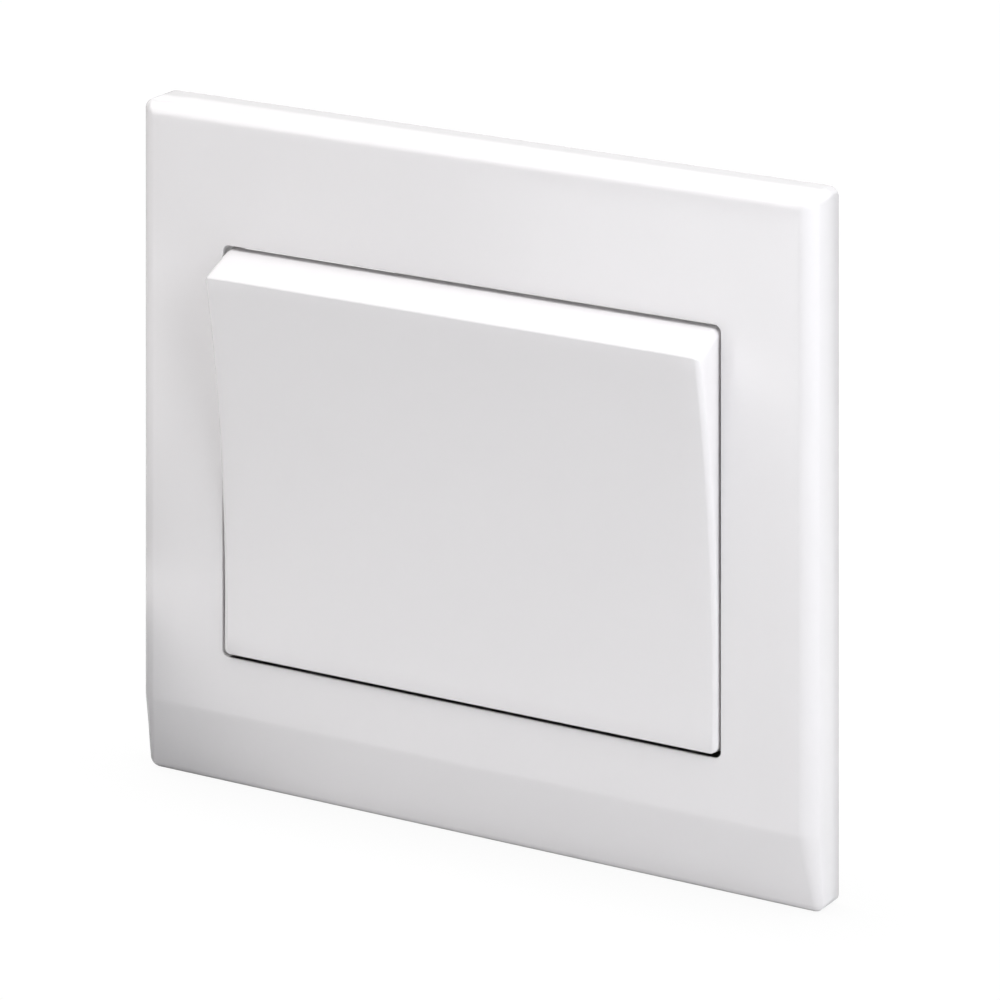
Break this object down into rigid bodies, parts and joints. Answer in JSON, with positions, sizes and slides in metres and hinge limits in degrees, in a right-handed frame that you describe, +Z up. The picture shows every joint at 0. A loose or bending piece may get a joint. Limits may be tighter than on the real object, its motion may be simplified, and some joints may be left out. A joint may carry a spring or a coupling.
{
  "type": "rocker wall switch",
  "caption": "Square white wall switch plate with one wide tilting rocker, a see-saw contact mechanism and screw terminals behind.",
  "frame": {"origin": "centre of the surround on the wall plane", "axes": "+X to the right, +Z up, -Y out of the wall towards the user"},
  "size_m": [0.086, 0.0382, 0.086],
  "materials": {
    "white_plastic": "semi-gloss moulded",
    "inner_plastic": "matt moulded",
    "case_plastic": "matt moulded",
    "nylon": "natural",
    "brass": "satin",
    "silver_contact": "satin",
    "plated_steel": "zinc plated",
    "spring_steel": "bright"
  },
  "bodies": {
    "base": {"front_frame": "white_plastic", "mounting_plate": "inner_plastic", "mechanism_cover": "case_plastic", "mechanism_housing": "case_plastic", "fixed_contacts": "silver_contact", "common_strip": "brass", "l1_strip": "brass", "l2_strip": "brass", "common_pillar": "brass", "l1_pillar": "brass", "l2_pillar": "brass", "fixing_screws": "plated_steel", "housing_screws": "plated_steel"},
    "rocker": {"rocker_cap": "white_plastic", "rocker_carrier": "inner_plastic", "plunger_spring": "spring_steel"},
    "plunger": {"plunger": "nylon"},
    "contact": {"contact_bar": "brass", "moving_contacts": "silver_contact"},
    "common_clamp": {"common_clamp_pad": "plated_steel"},
    "common_screw": {"common_screw": "plated_steel"},
    "l1_clamp": {"l1_clamp_pad": "plated_steel"},
    "l1_screw": {"l1_screw": "plated_steel"},
    "l2_clamp": {"l2_clamp_pad": "plated_steel"},
    "l2_screw": {"l2_screw": "plated_steel"}
  },
  "joints": [
    {"name": "rocker_tilt", "type": "hinge", "parent": "base", "child": "rocker", "pos_m": [0, -0.0025, 0], "axis": [-1, 0, 0], "range_deg": [0, 13.3]},
    {"name": "contact_rock", "type": "hinge", "parent": "base", "child": "contact", "pos_m": [0, 0.0095, 0], "axis": [1, 0, 0], "range_deg": [0, 20]},
    {"name": "plunger_travel", "type": "slide", "parent": "rocker", "child": "plunger", "axis": [0, 0.9933, 0.1158], "range_m": [-0.0006, 0], "stiffness_N_per_m": 20, "springref_m": 0.01, "deforming": ["plunger_spring"]},
    {"name": "common_clamp_slide", "type": "slide", "parent": "base", "child": "common_clamp", "axis": [0, -1, 0], "range_m": [0, 0.0024]},
    {"name": "common_screw_turn", "type": "hinge", "parent": "common_clamp", "child": "common_screw", "pos_m": [-0.0132, 0.0209, -0.0131], "axis": [0, -1, 0], "range_deg": [0, 1440]},
    {"name": "l1_clamp_slide", "type": "slide", "parent": "base", "child": "l1_clamp", "axis": [0, -1, 0], "range_m": [0, 0.0024]},
    {"name": "l1_screw_turn", "type": "hinge", "parent": "l1_clamp", "child": "l1_screw", "pos_m": [0.0132, 0.0209, 0.0131], "axis": [0, -1, 0], "range_deg": [0, 1440]},
    {"name": "l2_clamp_slide", "type": "slide", "parent": "base", "child": "l2_clamp", "axis": [0, -1, 0], "range_m": [0, 0.0024]},
    {"name": "l2_screw_turn", "type": "hinge", "parent": "l2_clamp", "child": "l2_screw", "pos_m": [0.0132, 0.0209, -0.0131], "axis": [0, -1, 0], "range_deg": [0, 1440]}
  ],
  "couplings": [
    {"joint": "contact_rock", "follows": "rocker_tilt", "ratio": 1.5},
    {"joint": "common_screw_turn", "follows": "common_clamp_slide", "rad_per_m": 10472},
    {"joint": "l1_screw_turn", "follows": "l1_clamp_slide", "rad_per_m": 10472},
    {"joint": "l2_screw_turn", "follows": "l2_clamp_slide", "rad_per_m": 10472}
  ]
}
